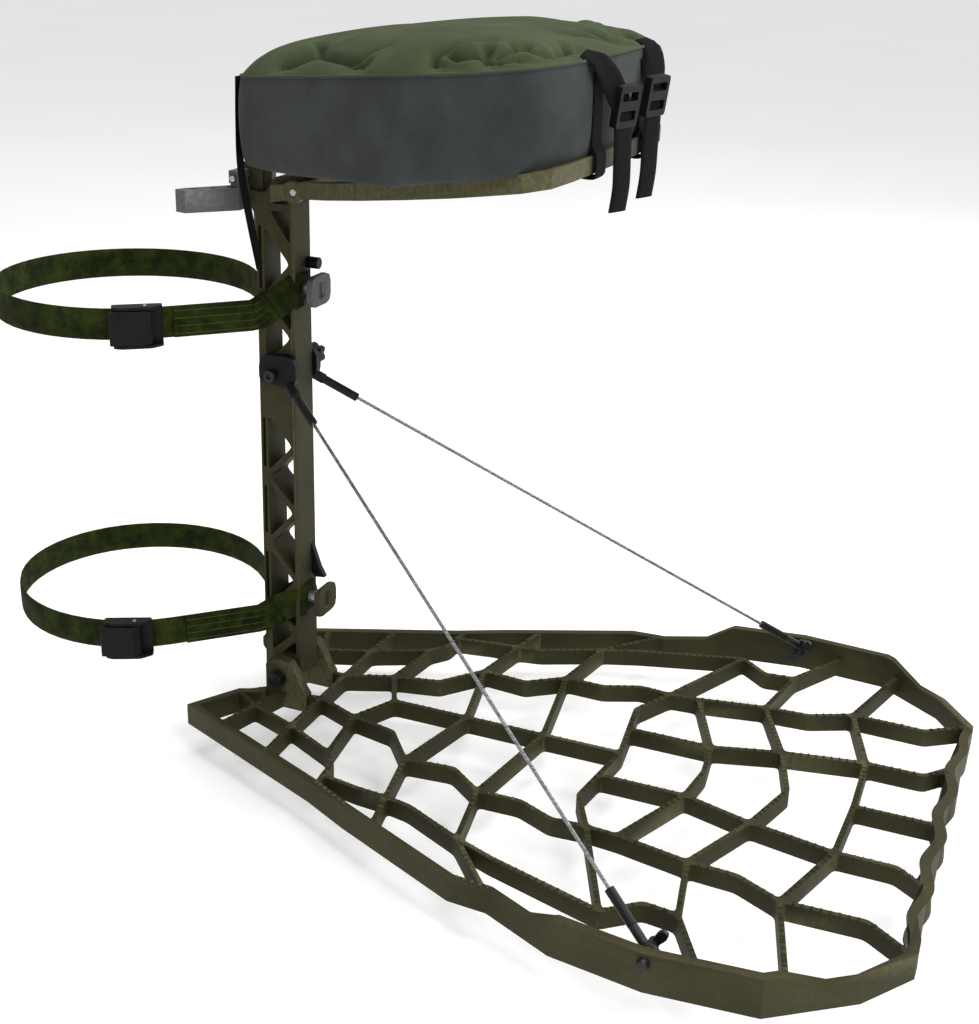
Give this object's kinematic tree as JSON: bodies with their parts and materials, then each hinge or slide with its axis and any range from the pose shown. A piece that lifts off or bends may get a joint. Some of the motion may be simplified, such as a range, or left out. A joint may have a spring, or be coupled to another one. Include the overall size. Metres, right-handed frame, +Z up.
{
  "type": "hang-on tree stand",
  "caption": "Hang-on tree stand: cast folding platform on a cast mast, two support cables, a flip-up padded seat and two cam-buckle trunk straps.",
  "frame": {"origin": "on the trunk's front surface, midway across the stand, level with the tops of the platform's ribs", "axes": "+Z up, +Y towards the trunk, X across the stand; the platform and the seat reach out along -Y"},
  "size_m": [0.543, 0.8548, 0.6137],
  "materials": {
    "cast_olive": "satin olive-brown powder coat on cast aluminium",
    "cast_grey": "matte grey coat on cast aluminium",
    "steel": "zinc-plated steel",
    "black_steel": "black oxide",
    "black_plastic": "matte moulded",
    "green_webbing": "woven polyester webbing",
    "black_webbing": "woven polypropylene webbing",
    "cushion_cloth": "coated woven cloth over foam, green top and grey sides"
  },
  "bodies": {
    "mast_body": {"bracket_pin": "steel", "bracket_post": "cast_olive", "bracket_spine": "cast_grey", "cable_clamp_near": "black_plastic", "cable_clamp_far": "black_plastic", "cable_near": "steel", "cable_far": "steel", "clamp_bolt": "black_steel", "clamp_nut": "black_steel", "hinge_bolt": "black_steel", "hinge_nut": "black_steel", "hinge_spacer_near": "black_plastic", "hinge_spacer_far": "black_plastic", "hinge_washer_near": "steel", "hinge_washer_far": "steel", "lower_buckle_frame": "black_plastic", "lower_buckle_pin": "steel", "lower_button_cap": "cast_olive", "lower_button_neck": "steel", "lower_keeper": "black_plastic", "lower_strap_sewn_end": "green_webbing", "lower_trunk_strap": "green_webbing", "mast": "cast_olive", "seat_pivot_pin": "steel", "tree_bracket": "cast_grey", "upper_buckle_frame": "black_plastic", "upper_buckle_pin": "steel", "upper_button_cap": "cast_grey", "upper_button_neck": "steel", "upper_keeper": "black_plastic", "upper_sleeve_near": "black_plastic", "upper_sleeve_far": "black_plastic", "upper_strap_sewn_end": "green_webbing", "upper_trunk_strap": "green_webbing"},
    "platform_body": {"platform": "cast_olive", "cable_lug_near": "steel", "cable_lug_far": "steel", "lug_bolt_near": "black_steel", "lug_bolt_far": "black_steel", "wing_nut_near": "steel", "wing_nut_far": "steel", "lower_sleeve_near": "black_plastic", "lower_sleeve_far": "black_plastic"},
    "seat_body": {"seat_frame": "cast_olive", "seat_cushion": "cushion_cloth", "seat_strap_near": "black_webbing", "seat_strap_far": "black_webbing", "seat_buckle_near": "black_plastic", "seat_buckle_far": "black_plastic", "seat_rear_strap": "black_webbing"},
    "knob_body": {"star_knob": "black_plastic"},
    "upper_lever_body": {"upper_buckle_lever": "black_plastic"},
    "lower_lever_body": {"lower_buckle_lever": "black_plastic"}
  },
  "joints": [
    {"name": "platform_fold", "type": "hinge", "parent": "mast_body", "child": "platform_body", "pos_m": [0, -0.047, 0.015], "axis": [-1, 0, 0], "range_deg": [0, 45], "deforming": ["cable_near", "cable_far"]},
    {"name": "seat_flip", "type": "hinge", "parent": "mast_body", "child": "seat_body", "pos_m": [0, -0.066, 0.448], "axis": [-1, 0, 0], "range_deg": [0, 45]},
    {"name": "knob_turn", "type": "hinge", "parent": "mast_body", "child": "knob_body", "pos_m": [0.026, -0.058, 0.303], "axis": [1, 0, 0], "continuous": true},
    {"name": "upper_lever_turn", "type": "hinge", "parent": "mast_body", "child": "upper_lever_body", "pos_m": [-0.0919, 0.0306, 0.343], "axis": [0, 0, 1], "range_deg": [0, 60], "stiffness_Nm_per_rad": 0.1},
    {"name": "lower_lever_turn", "type": "hinge", "parent": "mast_body", "child": "lower_lever_body", "pos_m": [-0.1054, 0.0496, 0.066], "axis": [0, 0, 1], "range_deg": [0, 60], "stiffness_Nm_per_rad": 0.1}
  ]
}
